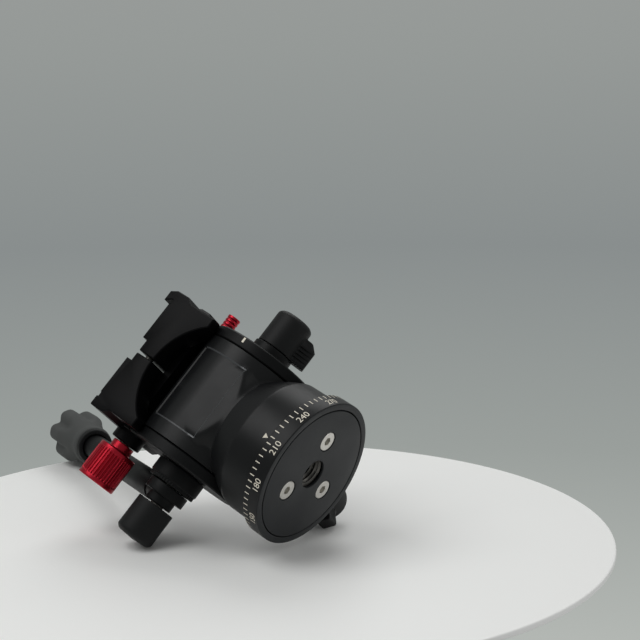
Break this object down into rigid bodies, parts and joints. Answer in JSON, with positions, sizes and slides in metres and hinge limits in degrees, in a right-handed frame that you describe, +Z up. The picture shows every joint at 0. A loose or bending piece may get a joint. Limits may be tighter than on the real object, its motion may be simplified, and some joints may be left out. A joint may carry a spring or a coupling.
{
  "type": "fluid video head",
  "caption": "Fluid-drag pan and tilt head with a dovetail quick release clamp, red clamp knob, T lock knobs and a folding handle.",
  "frame": {"origin": "middle of the base's underside, where the pan axis meets the tripod plate", "axes": "+Z up along the pan axis, X along the tilt axis with the handle on -X, -Y the front with the badge panel, the pan lock at +Y"},
  "size_m": [0.0935, 0.1111, 0.1517],
  "materials": {
    "black_anodised": "satin black anodised aluminium",
    "dark_face": "fine turned satin, dark grey anodised",
    "red_anodised": "bright red anodised, ribbed",
    "black_plastic": "fine grained moulded plastic",
    "grip_rubber": "matt moulded rubber",
    "steel": "bright zinc plated steel",
    "brass": "machined",
    "bronze": "sintered bronze",
    "drag_plastic": "greased acetal"
  },
  "bodies": {
    "base": {"base_disc": "dark_face", "base_screw_1": "steel", "base_screw_2": "steel", "base_screw_3": "steel", "scale_ring": "black_anodised", "thread_bush": "steel", "pan_spindle": "steel", "pan_nut": "steel"},
    "pan_body": {"head_casting": "black_anodised", "pan_bearing": "bronze", "pan_damper_ring": "drag_plastic", "pan_bush": "bronze", "pan_lock_pad": "brass", "tilt_bush_left": "bronze", "tilt_bush_right": "bronze", "tilt_damper_sleeve": "drag_plastic"},
    "pan_lock": {"pan_lock_knob": "black_plastic", "pan_lock_stud": "steel"},
    "tilt_body": {"tilt_shaft": "steel", "tilt_damper_rotor": "brass", "tilt_arm_left": "black_anodised", "tilt_arm_right": "black_anodised", "tilt_bridge": "black_anodised", "bridge_screw_1": "steel", "bridge_screw_2": "steel", "bridge_screw_3": "steel", "bridge_screw_4": "steel", "jaw_screw_1": "steel", "jaw_screw_2": "steel", "clamp_fixed_jaw": "black_anodised", "guide_pin_1": "steel", "guide_pin_2": "steel", "pin_sleeve": "steel", "tilt_washer": "black_anodised", "rosette_disc": "black_anodised"},
    "tilt_lock": {"tilt_lock_knob": "black_plastic", "tilt_lock_stud": "steel"},
    "jaw": {"clamp_moving_jaw": "black_anodised"},
    "jaw_knob": {"clamp_knob": "red_anodised", "clamp_screw": "steel"},
    "pin": {"safety_pin": "red_anodised"},
    "handle": {"handle_eye": "black_anodised", "handle_rod": "black_anodised", "handle_collar": "black_plastic", "handle_grip": "grip_rubber"},
    "handle_lock": {"handle_lock_knob": "black_plastic", "handle_lock_stud": "steel"}
  },
  "joints": [
    {"name": "pan", "type": "hinge", "parent": "base", "child": "pan_body", "pos_m": [0, 0, 0], "axis": [0, 0, 1], "continuous": true},
    {"name": "pan_lock_turn", "type": "hinge", "parent": "pan_body", "child": "pan_lock", "pos_m": [0, 0.032, 0.0126], "axis": [0, 1, 0], "range_deg": [-45, 45]},
    {"name": "tilt", "type": "hinge", "parent": "pan_body", "child": "tilt_body", "pos_m": [0, 0, 0.0411], "axis": [-1, 0, 0], "range_deg": [-75, 75]},
    {"name": "tilt_lock_turn", "type": "hinge", "parent": "tilt_body", "child": "tilt_lock", "pos_m": [0.028, 0, 0.0411], "axis": [1, 0, 0], "range_deg": [-45, 45]},
    {"name": "jaw_slide", "type": "slide", "parent": "tilt_body", "child": "jaw", "axis": [-1, 0, 0], "range_m": [0, 0.003]},
    {"name": "clamp_knob_turn", "type": "hinge", "parent": "jaw", "child": "jaw_knob", "pos_m": [-0.028, 0, 0.0669], "axis": [-1, 0, 0], "range_deg": [0, 1543]},
    {"name": "safety_pin_pull", "type": "slide", "parent": "tilt_body", "child": "pin", "axis": [1, 0, 0], "range_m": [0, 0.0025], "stiffness_N_per_m": 120, "springref_m": -0.001},
    {"name": "handle_swing", "type": "hinge", "parent": "tilt_body", "child": "handle", "pos_m": [-0.0332, 0, 0.0411], "axis": [-1, 0, 0], "range_deg": [-8, 195]},
    {"name": "handle_lock_turn", "type": "hinge", "parent": "handle", "child": "handle_lock", "pos_m": [-0.0383, 0, 0.0411], "axis": [-1, 0, 0], "range_deg": [-45, 45]}
  ],
  "couplings": [
    {"joint": "clamp_knob_turn", "follows": "jaw_slide", "rad_per_m": 8976}
  ]
}
